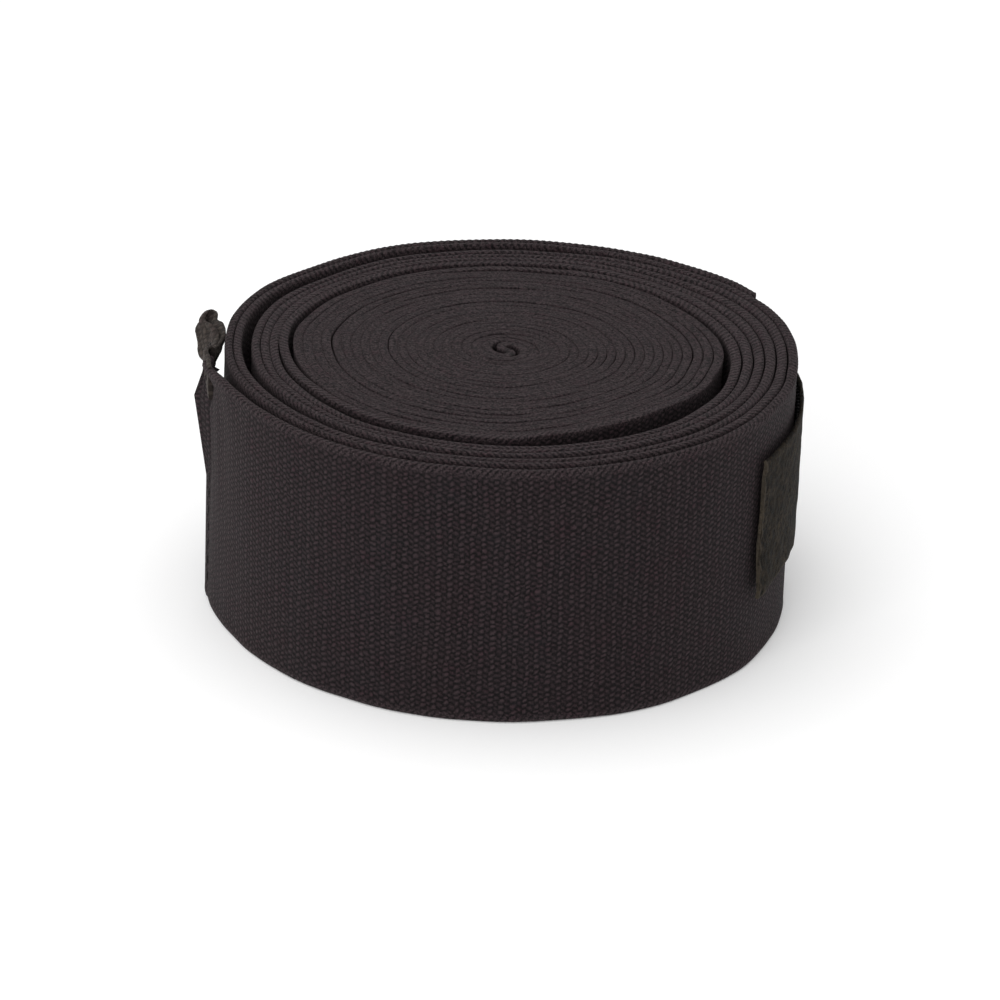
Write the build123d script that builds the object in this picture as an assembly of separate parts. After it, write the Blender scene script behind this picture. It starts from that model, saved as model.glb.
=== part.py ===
from build123d import *
import math
import os

# Boxer's hand wrap, rolled up and standing on the edge of its strip.
# Origin: the middle of the roll's core, on the surface it stands on. +Z is the roll's axis, up.
# The strip was folded in two at its middle and wound from there, so two arms of cloth run outward
# side by side. Both turn clockwise as they grow, seen from above.
# Arm A ends at the back right in the hook closure, and arm B at the left in the thumb loop.
# Every ply is a chain of half-circle arcs that meet, tangent, on one diameter: the winding line.

# ---- Driving dimensions, in millimetres and degrees ----
STRIP_WIDTH = 50.0
CLOTH_THICKNESS = 1.42
PLY_PITCH = 1.62
CORE_TURN = 3.0
PLIES_PER_SIDE = 28
WINDING_LINE = -60.0

# Loose places in the roll: ply number, and how much further out that ply and all later ones stand.
SLACK_FRONT = {22: 5.8, 25: 1.2, 27: 1.1}
SLACK_BACK = {12: 0.3, 18: 0.4, 22: 1.2, 26: 1.8, 28: 1.2}
TAIL_CLEARANCE = 0.25

CLOSURE_HINGES = [120.0, 92.0, 64.0]
CLOSURE_END = 35.0
THUMB_HINGES = [235.0, 210.0]
THUMB_END = 185.0

TAB_WIDTH = 27.0
TAB_CENTRE_Z = 28.5
TAB_THICKNESS = 0.9
TAB_SEWN_LENGTH = 12.0
TAB_TIP = -35.0
TAB_DROP = 0.46
HOOK_HEIGHT = 1.1
HOOK_MARGIN = 1.0

PATCH_START = 280.0
PATCH_END = 192.0
PATCH_WIDTH = 40.0
PATCH_THICKNESS = 0.9

LOOP_TAPE_WIDTH = 7.0
LOOP_TOP_Z = 49.7
LOOP_LENGTH = 18.0
LOOP_LEAN = 4.0
LOOP_ROOT_R = 1.0
LOOP_TIP_R = 2.2
LOOP_WALL = 0.95
LOOP_SEWN_LENGTH = 9.0
LOOP_CLOSED_LENGTH = 9.0
LOOP_GAP = 0.8
LOOP_SEWN_INSET = 1.2

STITCH_LENGTH = 2.4
STITCH_PITCH = 3.4
STITCH_WIDTH = 0.45
STITCH_HEIGHT = 0.25


# ---- The winding ----
def crossings(slack):
    """Distances from the core at which the plies cross one side of the winding line."""
    out = []
    distance = CORE_TURN
    for ply in range(PLIES_PER_SIDE + 1):
        distance += slack.get(ply, 0.0)
        out.append(distance)
        distance += PLY_PITCH
    out[-1] += TAIL_CLEARANCE
    return out


FRONT = crossings(SLACK_FRONT)
BACK = crossings(SLACK_BACK)


def arm_points(first_side, count):
    """Signed places along the winding line (front is positive) that one arm passes, from the core out."""
    places = [0.0]
    for ply in range(count):
        on_front = (ply % 2 == 0) == (first_side == "front")
        places.append(FRONT[ply] if on_front else -BACK[ply])
    return places


ARM_A = arm_points("front", PLIES_PER_SIDE + 1)
ARM_B = arm_points("back", PLIES_PER_SIDE + 1)
LINE = Vector(math.cos(math.radians(WINDING_LINE)), math.sin(math.radians(WINDING_LINE)))


class Arc:
    """Half of one turn of an arm, between two places on the winding line."""

    def __init__(self, start, end):
        self.centre = LINE * ((start + end) / 2)
        self.radius = abs(end - start) / 2
        self.start_azimuth = WINDING_LINE + (0.0 if start > end else 180.0)

    def point(self, azimuth, offset=0.0):
        """The point at that azimuth round the arc's own centre, offset outward from its middle line."""
        reach = self.radius + offset
        turn = math.radians(azimuth)
        return self.centre + Vector(math.cos(turn), math.sin(turn)) * reach


def arcs_of(places):
    return [Arc(a, b) for a, b in zip(places, places[1:])]


ARCS_A = arcs_of(ARM_A)
ARCS_B = arcs_of(ARM_B)
LAST_A = ARCS_A[-1]
LAST_B = ARCS_B[-1]
HALF_CLOTH = CLOTH_THICKNESS / 2

# The tight core ends at the back of the winding line, just before the widest loose place.
LOOSE_CUT = WINDING_LINE + 180.0
LOOSE_PLY = min(SLACK_FRONT)
CORE_ARCS_A = ARCS_A[:LOOSE_PLY]
CORE_ARCS_B = ARCS_B[: LOOSE_PLY + 1]
OUTER_ARCS_A = ARCS_A[LOOSE_PLY:-1]
OUTER_ARCS_B = ARCS_B[LOOSE_PLY + 1 :]


def edges_along(arcs, end_azimuth, offset):
    """One side of an arm: arcs at an offset from the middle line, the last one cut at end_azimuth."""
    edges = []
    for arc in arcs:
        begin = arc.start_azimuth
        end = begin - 180.0
        if arc is arcs[-1]:
            end = end_azimuth
            while end > begin:
                end -= 360.0
            while end < begin - 180.0:
                end += 360.0
        middle = (begin + end) / 2
        edges.append(
            ThreePointArc(arc.point(begin, offset), arc.point(middle, offset), arc.point(end, offset))
        )
    return edges


def wound_core():
    """The cloth inside the loose place, as one solid that follows both arms through the core."""
    outer_a = edges_along(CORE_ARCS_A, LOOSE_CUT, HALF_CLOTH)
    inner_a = edges_along(CORE_ARCS_A, LOOSE_CUT, -HALF_CLOTH)
    outer_b = edges_along(CORE_ARCS_B, LOOSE_CUT, HALF_CLOTH)
    inner_b = edges_along(CORE_ARCS_B, LOOSE_CUT, -HALF_CLOTH)
    end_a = Line(outer_a[-1] @ 1, inner_a[-1] @ 1)
    end_b = Line(outer_b[-1] @ 1, inner_b[-1] @ 1)
    outline = Wire(outer_a + inner_a + outer_b + inner_b + [end_a, end_b])
    return extrude(Face(outline), amount=STRIP_WIDTH, dir=(0, 0, 1))


def outer_wraps(arcs, end_azimuth):
    """One arm's cloth outside the loose place, up to where its freed end begins."""
    outer = edges_along(arcs, end_azimuth, HALF_CLOTH)
    inner = edges_along(arcs, end_azimuth, -HALF_CLOTH)
    ends = [Line(outer[0] @ 0, inner[0] @ 0), Line(outer[-1] @ 1, inner[-1] @ 1)]
    return extrude(Face(Wire(outer + inner + ends)), amount=STRIP_WIDTH, dir=(0, 0, 1))


def band(arc, begin, end, inner, outer, bottom, top):
    """A piece of cloth or tape that follows an arc from one azimuth to a smaller one."""
    middle = (begin + end) / 2
    outside = ThreePointArc(arc.point(begin, outer), arc.point(middle, outer), arc.point(end, outer))
    inside = ThreePointArc(arc.point(begin, inner), arc.point(middle, inner), arc.point(end, inner))
    sides = [Line(outside @ 0, inside @ 0), Line(outside @ 1, inside @ 1)]
    sketch = Face(Wire([outside, inside] + sides))
    return Pos(0, 0, bottom) * extrude(sketch, amount=top - bottom, dir=(0, 0, 1))


def tail_pieces(arc, hinges, end, names):
    """The freed end of an arm, cut at its hinge lines."""
    limits = hinges + [end]
    pieces = {}
    for name, begin, stop in zip(names, limits, limits[1:]):
        pieces[name] = band(arc, begin, stop, -HALF_CLOTH, HALF_CLOTH, 0.0, STRIP_WIDTH)
    return pieces


# ---- Stitching ----
def stitch(arc, azimuth, offset, z, along_arc):
    """One visible stitch lying on a face, along the arc or upright."""
    place = arc.point(azimuth, offset + STITCH_HEIGHT / 2)
    length = STITCH_LENGTH if along_arc else STITCH_WIDTH
    height = STITCH_WIDTH if along_arc else STITCH_LENGTH
    return Pos(place.X, place.Y, z) * Rot(0, 0, azimuth) * Box(STITCH_HEIGHT, length, height)


def stitch_column(arc, azimuth, offset, bottom, top):
    """Upright stitches, one above another."""
    count = int((top - bottom) / STITCH_PITCH)
    first = (bottom + top - (count - 1) * STITCH_PITCH) / 2
    return [stitch(arc, azimuth, offset, first + i * STITCH_PITCH, False) for i in range(count)]


def stitch_row(arc, begin, end, offset, z):
    """Stitches along the arc at one height."""
    step = math.degrees(STITCH_PITCH / (arc.radius + offset))
    count = int((begin - end) / step)
    first = (begin + end + (count - 1) * step) / 2
    return [stitch(arc, first - i * step, offset, z, True) for i in range(count)]


def degrees_for(length, arc, offset):
    return math.degrees(length / (arc.radius + offset))


# ---- Hook closure ----
TAB_BOTTOM = TAB_CENTRE_Z - TAB_WIDTH / 2
TAB_TOP = TAB_CENTRE_Z + TAB_WIDTH / 2
TAB_OUTER = HALF_CLOTH + TAB_THICKNESS
SEWN_START = CLOSURE_END + degrees_for(TAB_SEWN_LENGTH, LAST_A, HALF_CLOTH)


def hook_tab_sewn_end():
    return band(LAST_A, SEWN_START, CLOSURE_END, HALF_CLOTH, TAB_OUTER, TAB_BOTTOM, TAB_TOP)


def hook_tab_tape():
    """The tape past the strip's end, a little nearer the roll there."""
    inner = HALF_CLOTH - TAB_DROP
    return band(LAST_A, CLOSURE_END, TAB_TIP, inner, inner + TAB_THICKNESS, TAB_BOTTOM, TAB_TOP)


def hook_field():
    """The bed of hooks on the tape's inner side, a little smaller than the tape."""
    margin = degrees_for(HOOK_MARGIN, LAST_A, 0.0)
    return band(
        LAST_A,
        CLOSURE_END - 2 * margin,
        TAB_TIP + margin,
        HALF_CLOTH - TAB_DROP - HOOK_HEIGHT,
        HALF_CLOTH - TAB_DROP,
        TAB_BOTTOM + HOOK_MARGIN,
        TAB_TOP - HOOK_MARGIN,
    )


def hook_tab_stitching():
    """A box of stitches through the tape's sewn end."""
    inset = degrees_for(1.6, LAST_A, TAB_OUTER)
    rows = stitch_column(LAST_A, SEWN_START - inset, TAB_OUTER, TAB_BOTTOM + 1, TAB_TOP - 1)
    rows += stitch_column(LAST_A, CLOSURE_END + 2 * inset, TAB_OUTER, TAB_BOTTOM + 1, TAB_TOP - 1)
    for z in (TAB_BOTTOM + 1.2, TAB_TOP - 1.2):
        rows += stitch_row(LAST_A, SEWN_START - 2 * inset, CLOSURE_END + 2.6 * inset, TAB_OUTER, z)
    return Compound(children=rows)


# ---- Pile patch ----
PATCH_ARC = ARCS_A[-2]
PATCH_BOTTOM = (STRIP_WIDTH - PATCH_WIDTH) / 2
PATCH_TOP = PATCH_BOTTOM + PATCH_WIDTH


def pile_patch():
    """The soft patch that the hooks grip when the wrap is worn, sewn on arm A's outer face."""
    outer = HALF_CLOTH + PATCH_THICKNESS
    return band(PATCH_ARC, PATCH_START, PATCH_END, HALF_CLOTH, outer, PATCH_BOTTOM, PATCH_TOP)


def pile_patch_stitching():
    """Upright stitches just past both ends of the patch, and rows above and below it, on the cloth."""
    gap = degrees_for(0.8, PATCH_ARC, HALF_CLOTH)
    rows = stitch_column(PATCH_ARC, PATCH_START + gap, HALF_CLOTH, PATCH_BOTTOM, PATCH_TOP)
    rows += stitch_column(PATCH_ARC, PATCH_END - gap, HALF_CLOTH, PATCH_BOTTOM, PATCH_TOP)
    for z in (PATCH_BOTTOM - 0.8, PATCH_TOP + 0.8):
        rows += stitch_row(PATCH_ARC, PATCH_START, PATCH_END, HALF_CLOTH, z)
    return Compound(children=rows)


# ---- Thumb loop ----
LOOP_BOTTOM = LOOP_TOP_Z - LOOP_TAPE_WIDTH
LOOP_SEWN_OUTER = HALF_CLOTH + LOOP_WALL


def thumb_loop_sewn_end():
    """The ends of the loop's tape, sewn to the strip's top corner on its outer face."""
    start = THUMB_END + degrees_for(LOOP_SEWN_LENGTH, LAST_B, HALF_CLOTH)
    end = THUMB_END + degrees_for(LOOP_SEWN_INSET, LAST_B, HALF_CLOTH)
    return band(LAST_B, start, end, HALF_CLOTH, LOOP_SEWN_OUTER, LOOP_BOTTOM, LOOP_TOP_Z)


def loop_frame():
    """Turns shapes drawn along +X from the loop's root into place at the strip's end."""
    root = LAST_B.point(THUMB_END, HALF_CLOTH / 2)
    return Pos(root.X, root.Y, 0) * Rot(0, 0, THUMB_END - 90.0 + LOOP_LEAN)


def slim_outline(near_x, near_r, far_x, far_r):
    """A long drop between two circles on the X axis."""
    near = Pos(near_x, 0) * Circle(near_r)
    far = Pos(far_x, 0) * Circle(far_r)
    return make_hull(near.edges() + far.edges())


def thumb_loop_tape():
    """Narrow tape folded back on itself, standing on edge, with a pinched gap for the thumb."""
    tip_x = LOOP_LENGTH - LOOP_TIP_R
    root_x = LOOP_GAP + LOOP_ROOT_R
    outside = slim_outline(root_x, LOOP_ROOT_R, tip_x, LOOP_TIP_R)
    inside_near_r = 0.3
    inside = slim_outline(LOOP_CLOSED_LENGTH, inside_near_r, tip_x, LOOP_TIP_R - LOOP_WALL)
    flat = outside - inside
    tape = extrude(flat, amount=LOOP_TAPE_WIDTH, dir=(0, 0, 1))
    return loop_frame() * Pos(0, 0, LOOP_BOTTOM) * tape


def thumb_loop_bartack():
    """Tight upright stitches across the closed part of the loop, on its outer side."""
    tack_x = (3.0, 4.0, 5.0)
    outline_rise = math.tan(math.asin((LOOP_TIP_R - LOOP_ROOT_R) / (LOOP_LENGTH - LOOP_TIP_R)))
    rows = []
    for x in tack_x:
        side = LOOP_ROOT_R + x * outline_rise + STITCH_HEIGHT / 2
        middle = (LOOP_BOTTOM + LOOP_TOP_Z) / 2
        size = Box(STITCH_WIDTH, STITCH_HEIGHT, LOOP_TAPE_WIDTH - 1.4)
        rows.append(loop_frame() * Pos(x, side, middle) * size)
    return Compound(children=rows)


def thumb_end_stitching():
    """The hem of the strip's thumb end, below the loop."""
    inset = degrees_for(3.0, LAST_B, HALF_CLOTH)
    return Compound(children=stitch_column(LAST_B, THUMB_END + inset, HALF_CLOTH, 1.5, LOOP_BOTTOM - 0.5))


# ---- Writing ----
def strip_length():
    """The strip's whole length along its middle line."""
    full = sum(math.pi * arc.radius for arc in ARCS_A[:-1] + ARCS_B[:-1])
    last_a = math.radians(LAST_A.start_azimuth % 360 - CLOSURE_END) * LAST_A.radius
    last_b = math.radians(LAST_B.start_azimuth % 360 - THUMB_END) * LAST_B.radius
    return full + last_a + last_b


def report_hinges(name, arc, azimuths, offset):
    """Prints where each upright hinge line stands: on the outer face of its cut."""
    for azimuth in azimuths:
        place = arc.point(azimuth, offset)
        print(f"{name} hinge at {azimuth:.0f} degrees: {place.X:.4f}, {place.Y:.4f}")


def main():
    os.makedirs("parts", exist_ok=True)
    pieces = {
        "wound_core": wound_core(),
        "outer_wraps_closure_arm": outer_wraps(OUTER_ARCS_A, CLOSURE_HINGES[0]),
        "outer_wraps_thumb_arm": outer_wraps(OUTER_ARCS_B, THUMB_HINGES[0]),
    }
    closure_names = ["closure_tail_near", "closure_tail_middle", "closure_tail_end"]
    pieces.update(tail_pieces(LAST_A, CLOSURE_HINGES, CLOSURE_END, closure_names))
    pieces.update(tail_pieces(LAST_B, THUMB_HINGES, THUMB_END, ["thumb_tail_near", "thumb_tail_end"]))
    pieces["hook_tab_sewn_end"] = hook_tab_sewn_end()
    pieces["hook_tab_tape"] = hook_tab_tape()
    pieces["hook_field"] = hook_field()
    pieces["hook_tab_stitching"] = hook_tab_stitching()
    pieces["pile_patch"] = pile_patch()
    pieces["pile_patch_stitching"] = pile_patch_stitching()
    pieces["thumb_loop_sewn_end"] = thumb_loop_sewn_end()
    pieces["thumb_loop_tape"] = thumb_loop_tape()
    pieces["thumb_loop_bartack"] = thumb_loop_bartack()
    pieces["thumb_end_stitching"] = thumb_end_stitching()
    for name, shape in pieces.items():
        export_step(shape, f"parts/{name}.step")
    print(f"strip length {strip_length():.0f} mm")
    report_hinges("closure", LAST_A, CLOSURE_HINGES, HALF_CLOTH)
    report_hinges("hook tab", LAST_A, [CLOSURE_END], TAB_OUTER)
    report_hinges("thumb", LAST_B, THUMB_HINGES + [THUMB_END], HALF_CLOTH)


main()
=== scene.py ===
import bpy
import math
from mathutils import Matrix, Vector, noise


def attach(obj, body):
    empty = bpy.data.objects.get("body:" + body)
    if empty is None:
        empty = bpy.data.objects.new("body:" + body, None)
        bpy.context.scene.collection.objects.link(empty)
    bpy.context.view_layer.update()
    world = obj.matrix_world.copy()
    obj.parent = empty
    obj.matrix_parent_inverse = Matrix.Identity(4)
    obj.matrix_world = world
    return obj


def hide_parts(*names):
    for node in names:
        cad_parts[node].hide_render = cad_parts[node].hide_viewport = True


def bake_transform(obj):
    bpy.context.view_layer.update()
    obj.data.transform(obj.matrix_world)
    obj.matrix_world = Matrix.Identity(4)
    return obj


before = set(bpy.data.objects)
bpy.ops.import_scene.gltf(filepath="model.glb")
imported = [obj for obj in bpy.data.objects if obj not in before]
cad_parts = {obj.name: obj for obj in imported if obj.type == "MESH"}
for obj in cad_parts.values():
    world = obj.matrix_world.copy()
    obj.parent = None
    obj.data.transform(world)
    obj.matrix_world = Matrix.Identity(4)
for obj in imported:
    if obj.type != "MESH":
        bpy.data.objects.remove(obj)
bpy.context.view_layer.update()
MM = 0.001
CREASE_SEED = 7
# the noise of the soft creases would start from the clock without a seed
noise.seed_set(CREASE_SEED)

# ---- The winding, in millimetres and degrees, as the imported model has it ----
STRIP_WIDTH = 50.0
HALF_CLOTH = 0.71
PLY_PITCH = 1.62
CORE_TURN = 3.0
PLIES_PER_SIDE = 28
WINDING_LINE = -60.0
SLACK_FRONT = {22: 5.8, 25: 1.2, 27: 1.1}
SLACK_BACK = {12: 0.3, 18: 0.4, 22: 1.2, 26: 1.8, 28: 1.2}
TAIL_CLEARANCE = 0.25
CLOSURE_CUTS = [120.0, 92.0, 64.0, 35.0]
THUMB_CUTS = [235.0, 210.0, 185.0]
TAB_BOTTOM, TAB_TOP, TAB_TIP, TAB_THICKNESS = 15.0, 42.0, -32.8, 0.7
TAB_DROP = 1.15
TAB_SEWN_LENGTH = 12.0
HOOK_HEIGHT = 0.5
PATCH_START, PATCH_END, PATCH_THICKNESS = 280.0, 192.0, 0.9
PATCH_BOTTOM, PATCH_TOP = 5.0, 45.0
LOOP_BOTTOM, LOOP_TOP = 42.7, 49.7
LOOP_LEAN = 4.0
STITCH_PITCH = 3.4


def smooth(low, high, x):
    """0 below low, 1 above high, and a smooth step between."""
    t = min(1.0, max(0.0, (x - low) / (high - low)))
    return t * t * (3 - 2 * t)


def along(azimuth):
    turn = math.radians(azimuth)
    return Vector((math.cos(turn), math.sin(turn)))


LINE = along(WINDING_LINE)


def crossings(slack):
    """Distances from the core at which the plies cross one side of the winding line."""
    out = []
    distance = CORE_TURN
    for ply in range(PLIES_PER_SIDE + 1):
        distance += slack.get(ply, 0.0)
        out.append(distance)
        distance += PLY_PITCH
    out[-1] += TAIL_CLEARANCE
    return out


class Arc:
    """Half of one turn of an arm, between two places on the winding line."""

    def __init__(self, start, end, travelled):
        self.centre = LINE * ((start + end) / 2)
        self.radius = abs(end - start) / 2
        self.first = WINDING_LINE + (0.0 if start > end else 180.0)
        self.travelled = travelled

    def at(self, azimuth, offset=0.0):
        return self.centre + along(azimuth) * (self.radius + offset)

    def length_to(self, azimuth):
        """How far along the arm the point at this azimuth lies."""
        turn = (self.first - azimuth) % 360.0
        return self.travelled + math.radians(turn) * self.radius


def arm(first_side):
    front, back = crossings(SLACK_FRONT), crossings(SLACK_BACK)
    arcs, here, travelled = [], 0.0, 0.0
    for ply in range(PLIES_PER_SIDE + 1):
        on_front = (ply % 2 == 0) == (first_side == "front")
        there = front[ply] if on_front else -back[ply]
        arcs.append(Arc(here, there, travelled))
        travelled += math.pi * arcs[-1].radius
        here = there
    return arcs


ARM_A = arm("front")
ARM_B = arm("back")
LAST_A, LAST_B = ARM_A[-1], ARM_B[-1]


def station(arcs, length):
    """The point, outward direction, azimuth and ply number at that length along an arm."""
    arc = arcs[-1]
    for candidate in arcs:
        if length < candidate.travelled + math.pi * candidate.radius:
            arc = candidate
            break
    azimuth = arc.first - math.degrees((length - arc.travelled) / arc.radius)
    return arc.at(azimuth), along(azimuth), azimuth, arcs.index(arc)


# ---- How the wound cloth differs from perfect arcs ----
LOOSE_PLY = 22
DISC_REACH = 38.5
# (azimuth, how far the rim of the tight middle leans outward there), from the front round to the front again
DISC_LEAN = [
    (-90, 2.7), (-76, 1.0), (-60, 0.0), (-44, 0.2), (-20, 2.5), (0, 3.3), (40, 1.5),
    (90, -0.2), (120, 0.0), (150, 0.35), (180, 1.3), (225, 1.8), (270, 2.7),
]
SWIRL = math.radians(-53.0)
SWIRL_REACH = (2.0, 10.0)
# each swell: how high it is, the azimuth of its middle, and how wide it is in degrees
BACK_SWELL, BACK_SWELL_AZIMUTH, BACK_SWELL_WIDTH = 0.9, 165.0, 20.0
SIDE_SWELL, SIDE_SWELL_AZIMUTH, SIDE_SWELL_WIDTH = 1.7, 28.0, 19.0
SWELL_REACH = (40, 52)
CLOSURE_END_LENGTH = LAST_A.length_to(CLOSURE_CUTS[3])


def disc_lean(x, y):
    """The push in millimetres away from the core for a ply of the tight middle."""
    azimuth = math.degrees(math.atan2(y, x))
    if azimuth < -90:
        azimuth += 360
    for (low, first), (high, second) in zip(DISC_LEAN, DISC_LEAN[1:]):
        if azimuth <= high:
            at_rim = first + (second - first) * smooth(low, high, azimuth)
            return at_rim * (math.hypot(x, y) / DISC_REACH) ** 2
    return 0.0


def crowding(azimuth):
    """1 at the right of the roll, where the outer plies lie evenly against each other, and 0 elsewhere."""
    turn = (azimuth + 180.0) % 360 - 180.0
    return smooth(-58, -22, turn) * (1 - smooth(50, 88, turn))


def evened(centre, azimuth, ply):
    """Spreads the outer plies evenly over their space where they crowd together."""
    inner = ARM_A[LOOSE_PLY].at(azimuth).length
    outer = LAST_A.at(azimuth).length
    target = inner + (outer - inner) * (ply - LOOSE_PLY) / (PLIES_PER_SIDE - LOOSE_PLY)
    return centre + centre.normalized() * ((target - centre.length) * crowding(azimuth))


def true_centre(centre, azimuth, ply, side):
    """Where a ply runs once the tight middle leans over and the outer plies are spread."""
    other_arm = 1 if side < 0 else 0
    if ply < LOOSE_PLY + other_arm:
        return centre + centre.normalized() * disc_lean(centre.x, centre.y)
    if ply % 2 == other_arm:
        return evened(centre, azimuth, ply)
    return centre


def settle(x, y, z):
    """Moves a point the way the whole roll is out of true: a turned core, two swells and soft creases."""
    reach = math.hypot(x, y)
    turn = SWIRL * (1 - smooth(SWIRL_REACH[0], SWIRL_REACH[1], reach))
    x, y = x * math.cos(turn) - y * math.sin(turn), x * math.sin(turn) + y * math.cos(turn)
    azimuth = math.degrees(math.atan2(y, x)) % 360
    swell = BACK_SWELL * math.exp(-((azimuth - BACK_SWELL_AZIMUTH) / BACK_SWELL_WIDTH) ** 2)
    from_side = (azimuth + 180.0) % 360 - (180.0 + SIDE_SWELL_AZIMUTH)
    swell += SIDE_SWELL * math.exp(-(from_side / SIDE_SWELL_WIDTH) ** 2)
    swell *= smooth(SWELL_REACH[0], SWELL_REACH[1], reach)
    x, y = x * (1 + swell / max(reach, 1.0)), y * (1 + swell / max(reach, 1.0))
    broad = noise.noise_vector(Vector((x / 19, y / 19, z / 34)))
    fine = noise.noise_vector(Vector((x / 7 + 31, y / 7, z / 11)))
    return Vector((x + 0.55 * broad.x + 0.16 * fine.x, y + 0.55 * broad.y + 0.16 * fine.y, z))


def rim_height(x, y, length):
    """Height of a ply's upper selvedge: the roll dips a little towards its core and at the closure end."""
    reach = math.hypot(x, y)
    dip = 0.35 * (1 - smooth(36, 42, reach)) + 0.25 * (1 - smooth(44, 49, reach))
    dip += 0.25 * (1 - smooth(3, 14, reach))
    dip += 0.3 * smooth(CLOSURE_END_LENGTH - 6, CLOSURE_END_LENGTH, length)
    loose = 0.16 + 0.10 * (1 - smooth(30, 50, reach))
    wander = noise.noise(Vector((length / 13, 3.1, 0)))
    wander += 0.6 * noise.noise(Vector((length / 37, 9.7, 0)))
    return STRIP_WIDTH - dip + loose * wander - 0.05


def foot_height(length):
    return 0.12 + 0.12 * noise.noise(Vector((length / 15, 21.3, 0)))


# ---- Mesh helpers ----
def finish_mesh(name, points, faces, coords, material, sharp=()):
    """Makes a piece from points in millimetres, with the cloth's own coordinates kept on it."""
    mesh = bpy.data.meshes.new(name)
    mesh.from_pydata([tuple(p * MM) for p in points], [], faces)
    mesh.update()
    kept = mesh.attributes.new("cloth", "FLOAT_VECTOR", "POINT")
    kept.data.foreach_set("vector", [c for row in coords for c in row])
    for polygon in mesh.polygons:
        polygon.use_smooth = True
    if sharp:
        lookup = {tuple(sorted(e.vertices)): e for e in mesh.edges}
        for pair in sharp:
            lookup[tuple(sorted(pair))].use_edge_sharp = True
    mesh.materials.append(material)
    piece = bpy.data.objects.new(name, mesh)
    bpy.context.scene.collection.objects.link(piece)
    return piece


def tube_faces(base, rings, sides):
    """The walls and both ends of a tube. Its rings of points follow each other from number base."""
    walls = []
    for i in range(rings - 1):
        near, far = base + i * sides, base + (i + 1) * sides
        for j in range(sides):
            k = (j + 1) % sides
            walls.append((near + j, near + k, far + k, far + j))
    last = base + (rings - 1) * sides
    return walls + [tuple(base + j for j in reversed(range(sides))), tuple(last + j for j in range(sides))]


def ribbon(name, rings, material):
    """A closed band of cloth from its cross-section rings. A ring is a list of (point, cloth coordinates)."""
    count = len(rings[0])
    points = [p for ring in rings for p, c in ring]
    coords = [c for ring in rings for p, c in ring]
    last = (len(rings) - 1) * count
    sharp = []
    for j in range(count):
        k = (j + 1) % count
        sharp += [(j, k), (last + j, last + k)]
    return finish_mesh(name, points, tube_faces(0, len(rings), count), coords, material, sharp)


def cloth_section(top, foot, half, rim, round_over):
    """The strip's cross-section as (across, height) pairs.

    Its sides are flat, and its selvedges are a little thicker than the cloth. half is half the cloth's
    thickness, and rim half the upper selvedge's.
    """
    fat = half + 0.05
    left = [
        (half * 0.86, foot + 0.12), (fat, foot + 0.75), (half, foot + 1.9), (half, foot + 5),
        (half, foot + 11), (half, foot + 17), (half, foot + 24), (half, foot + 31), (half, foot + 38),
        (half, top - 6.5), (half, top - 3.6), (half + (rim - half) * 0.4, top - 1.9),
        (rim, top - 0.8 * round_over), (rim * 0.93, top - 0.24 * round_over), (rim * 0.5, top),
    ]
    right = [
        (-rim * 0.5, top), (-rim * 0.93, top - 0.24 * round_over), (-rim, top - 0.8 * round_over),
        (-half - (rim - half) * 0.4, top - 1.9),
        (-half, top - 3.6), (-half, top - 9), (-half, foot + 24), (-half, foot + 5),
        (-half, foot + 1.9), (-fat, foot + 0.75), (-half * 0.86, foot + 0.12), (0.0, foot),
    ]
    return left + right


# the selvedge's twisted threads: their spacing along the strip, and how fast they slant across it
CORD_PITCH = 1.3
CORD_SLANT = 1.5
CORD_RELIEF = 0.07


def packing(centre):
    """1 in the tight middle of the roll, and 0 in its outer plies."""
    return 1 - smooth(40, 46, centre.length)


def rim_half(centre, azimuth, ply, length, twist):
    """Half the thickness of the upper selvedge: pinched here and there in the middle, full at the right."""
    packed = packing(centre)
    place = Vector((centre.x / 16, centre.y / 9, 40.0 + 0.3 * math.sin(length / 9)))
    pinch = smooth(0.1, 0.5, noise.noise(place))
    rim = HALF_CLOTH + packed * (0.16 - 0.10 * pinch) + (1 - packed) * (0.05 + 0.04 * twist)
    if ply >= LOOSE_PLY:
        rim += (HALF_CLOTH + 0.21 + 0.03 * twist - rim) * crowding(azimuth)
    return rim


def cloth_ring(arcs, length, side, shape=None, fine=False):
    """One cross-section of the strip.

    side is 1 where the strip's left face looks outward, and -1 on the other arm. fine adds the relief of the
    selvedge's threads. shape(azimuth, height, out) gives an extra push outward and upward.
    """
    centre, outward, azimuth, ply = station(arcs, length)
    centre = true_centre(centre, azimuth, ply, side)
    top = rim_height(centre.x, centre.y, side * length)
    foot = foot_height(side * length)
    twist = math.sin(2 * math.pi * length / CORD_PITCH) if fine else 0.0
    rim = rim_half(centre, azimuth, ply, length, twist)
    round_over = 1.0 - 0.8 * packing(centre)
    ring = []
    for across, z in cloth_section(top, foot, HALF_CLOTH, rim, round_over):
        if fine:
            near_rim = smooth(top - 1.1, top - 0.5, z)
            phase = length / CORD_PITCH + across * side / CORD_SLANT
            z += near_rim * CORD_RELIEF * math.sin(2 * math.pi * phase)
        out = across * side
        push = shape(azimuth, z, out) if shape else (0.0, 0.0)
        place = centre + outward * (out + push[0])
        ring.append((settle(place.x, place.y, z + push[1]), (side * length, z, out)))
    return ring


def lengths_between(start, end, step):
    count = max(2, int(math.ceil(abs(end - start) / step)) + 1)
    return [start + (end - start) * i / (count - 1) for i in range(count)]


# ---- Materials ----
DISC_LENGTH = ARM_A[LOOSE_PLY].travelled - 40
WEAVE_COLUMN = 1.0
WEAVE_ROW = 1.14
WEAVE_SLANT = 0.22
ODD_COLUMN_DROP = 0.38
SELVEDGE_START, SELVEDGE_END = 23.2, 24.1


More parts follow.
